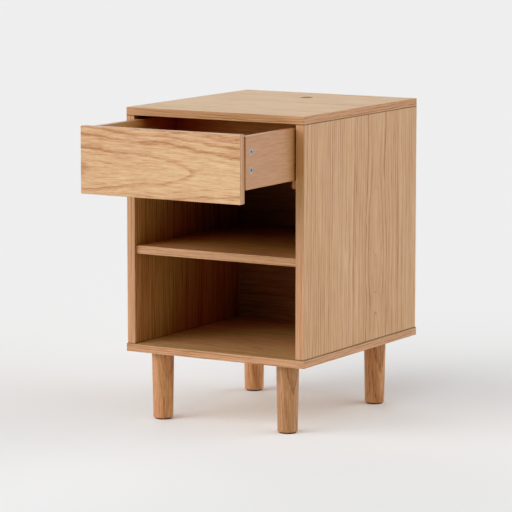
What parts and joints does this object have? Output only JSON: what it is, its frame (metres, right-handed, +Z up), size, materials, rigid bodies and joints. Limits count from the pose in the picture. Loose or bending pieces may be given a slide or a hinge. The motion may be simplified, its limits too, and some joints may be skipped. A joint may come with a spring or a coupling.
{
  "type": "bedside cabinet",
  "caption": "Upright wood-veneered bedside cabinet on round tapered legs, with an inset drawer on wooden runners, two open compartments and a cable hole in its top.",
  "frame": {"origin": "on the floor, under the middle of the carcass", "axes": "+X to the cabinet's right as seen from the front, +Y to its back, +Z up; the drawer opens towards -Y"},
  "size_m": [0.403, 0.6575, 0.62],
  "materials": {
    "oak_veneer": "satin lacquered oak veneer on board",
    "drawer_wood": "satin lacquered light wood",
    "thin_board": "thin wood-faced board",
    "solid_oak": "satin lacquered solid oak",
    "batten_wood": "plain sanded hardwood",
    "beech_dowel": "fluted-look plain beech",
    "dark_glide": "matte dark brown",
    "dark_plastic": "matte dark brown",
    "bumper_rubber": "soft translucent",
    "nickel_cam": "nickel-plated zinc",
    "zinc_steel": "bright zinc-plated steel"
  },
  "bodies": {
    "cabinet": {"top_panel": "oak_veneer", "bottom_panel": "oak_veneer", "left_side_panel": "oak_veneer", "right_side_panel": "oak_veneer", "back_panel": "oak_veneer", "shelf": "oak_veneer", "top_dowels": "beech_dowel", "top_cam_locks": "nickel_cam", "top_cam_bolts": "zinc_steel", "shelf_dowels": "beech_dowel", "shelf_cam_locks": "nickel_cam", "shelf_cam_bolts": "zinc_steel", "bottom_dowels": "beech_dowel", "bottom_screws": "zinc_steel", "left_runner": "batten_wood", "right_runner": "batten_wood", "runner_screws": "zinc_steel", "left_kicker": "batten_wood", "right_kicker": "batten_wood", "stop_rail": "batten_wood", "top_rail_screws": "zinc_steel", "left_stop_block": "batten_wood", "right_stop_block": "batten_wood", "stop_block_screws": "zinc_steel", "stop_bumpers": "bumper_rubber", "front_left_leg": "solid_oak", "front_right_leg": "solid_oak", "back_left_leg": "solid_oak", "back_right_leg": "solid_oak", "front_left_glide": "dark_glide", "front_right_glide": "dark_glide", "back_left_glide": "dark_glide", "back_right_glide": "dark_glide", "leg_bolts": "zinc_steel", "leg_inserts": "zinc_steel"},
    "drawer": {"drawer_front": "oak_veneer", "left_drawer_side": "drawer_wood", "right_drawer_side": "drawer_wood", "drawer_back": "drawer_wood", "drawer_bottom": "thin_board", "drawer_cam_locks": "nickel_cam", "drawer_cam_bolts": "zinc_steel", "drawer_front_dowels": "beech_dowel", "drawer_back_screws": "zinc_steel", "drawer_stop_pegs": "dark_plastic"}
  },
  "joints": [
    {"name": "drawer_slide", "type": "slide", "parent": "cabinet", "child": "drawer", "axis": [0, -1, 0], "range_m": [-0.196, 0.054]}
  ]
}
